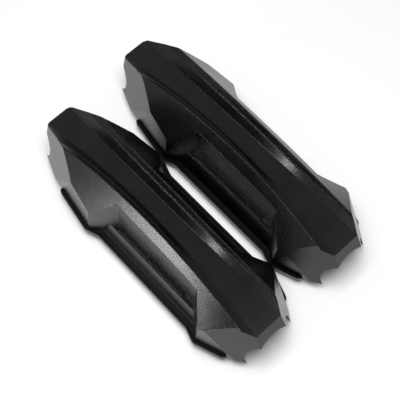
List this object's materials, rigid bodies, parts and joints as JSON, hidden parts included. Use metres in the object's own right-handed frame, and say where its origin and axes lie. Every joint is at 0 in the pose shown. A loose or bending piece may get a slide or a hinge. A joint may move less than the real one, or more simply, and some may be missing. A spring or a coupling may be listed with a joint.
{
  "type": "crash bar protector blocks",
  "caption": "Pair of faceted black plastic blocks that clamp round a motorcycle crash bar to take the knocks in a fall.",
  "frame": {"origin": "centre of the pair on the flat they rest on", "axes": "+X along the clamped bar towards the short nose, +Y from the left guard to the right guard, +Z away from the machine"},
  "size_m": [0.2294, 0.1562, 0.0638],
  "materials": {
    "cover_plastic": "fine moulded grain",
    "back_plastic": "satin",
    "clamp_nylon": "satin",
    "liner_rubber": "matte",
    "insert_brass": "machined",
    "screw_steel": "satin"
  },
  "bodies": {
    "left_back": {"left_back_shell": "back_plastic", "left_front_cradle": "clamp_nylon", "left_rear_cradle": "clamp_nylon", "left_front_lower_liner": "liner_rubber", "left_rear_lower_liner": "liner_rubber"},
    "left_cover": {"left_outer_cover": "cover_plastic", "left_front_saddle": "clamp_nylon", "left_rear_saddle": "clamp_nylon", "left_front_upper_liner": "liner_rubber", "left_rear_upper_liner": "liner_rubber", "left_brass_inserts": "insert_brass"},
    "left_screws": {"left_clamp_screws": "screw_steel", "left_screw_washers": "screw_steel"},
    "right_back": {"right_back_shell": "back_plastic", "right_front_cradle": "clamp_nylon", "right_rear_cradle": "clamp_nylon", "right_front_lower_liner": "liner_rubber", "right_rear_lower_liner": "liner_rubber"},
    "right_cover": {"right_outer_cover": "cover_plastic", "right_front_saddle": "clamp_nylon", "right_rear_saddle": "clamp_nylon", "right_front_upper_liner": "liner_rubber", "right_rear_upper_liner": "liner_rubber", "right_brass_inserts": "insert_brass"},
    "right_screws": {"right_clamp_screws": "screw_steel", "right_screw_washers": "screw_steel"}
  },
  "joints": [
    {"name": "left_cover_lift", "type": "slide", "parent": "left_back", "child": "left_cover", "axis": [0, 0, 1], "range_m": [0, 0.06]},
    {"name": "left_screws_out", "type": "slide", "parent": "left_back", "child": "left_screws", "axis": [0, 0, -1], "range_m": [0, 0.02]},
    {"name": "right_cover_lift", "type": "slide", "parent": "right_back", "child": "right_cover", "axis": [0, 0, 1], "range_m": [0, 0.06]},
    {"name": "right_screws_out", "type": "slide", "parent": "right_back", "child": "right_screws", "axis": [0, 0, -1], "range_m": [0, 0.02]},
    {"name": "pair_spread", "type": "slide", "parent": "left_back", "child": "right_back", "axis": [0, 1, 0], "range_m": [0, 0.1]}
  ]
}
